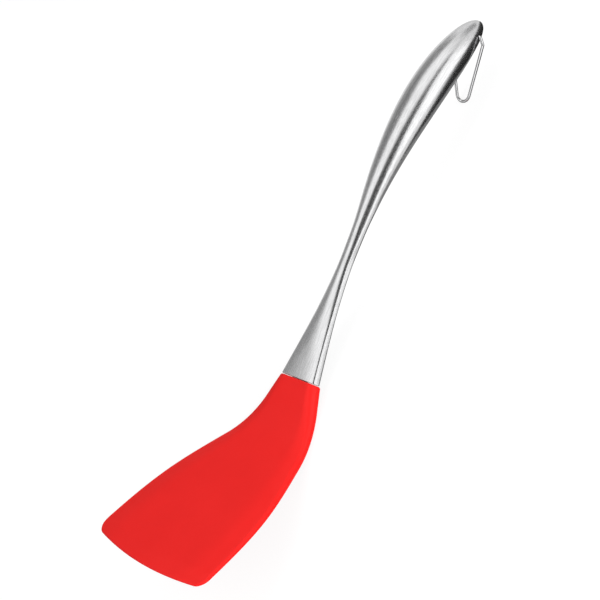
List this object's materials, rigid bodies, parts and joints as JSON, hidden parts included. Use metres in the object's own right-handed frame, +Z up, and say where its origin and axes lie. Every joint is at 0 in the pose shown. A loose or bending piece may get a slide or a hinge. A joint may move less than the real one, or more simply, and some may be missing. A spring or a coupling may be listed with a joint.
{
  "type": "kitchen turner",
  "caption": "Flexible silicone turner blade with a heel bend on a hollow brushed steel handle, with a swinging wire loop at the tip for hanging.",
  "frame": {"origin": "on the table, under the middle of the turner as it lies on its heel and on the end of its loop", "axes": "+X from the blade towards the tip of the handle, +Y across the blade, +Z up"},
  "size_m": [0.3534, 0.089, 0.0449],
  "materials": {
    "silicone": "satin red moulded silicone",
    "handle_steel": "brushed along the handle",
    "inner_steel": "plain rolled sheet and bar",
    "plug_nylon": "moulded, matte",
    "loop_wire": "drawn bright wire"
  },
  "bodies": {
    "turner": {"silicone_head": "silicone", "core_plate": "inner_steel", "mouth_plug": "plug_nylon", "tang_rivet_left": "inner_steel", "tang_rivet_right": "inner_steel", "handle_upper_shell": "handle_steel", "handle_lower_shell": "handle_steel", "pivot_sleeve": "inner_steel"},
    "loop": {"hanging_loop": "loop_wire"}
  },
  "joints": [
    {"name": "loop_swing", "type": "hinge", "parent": "turner", "child": "loop", "pos_m": [0.16504, 0, 0.02281], "axis": [0, -1, 0], "range_deg": [-24, 285]}
  ]
}
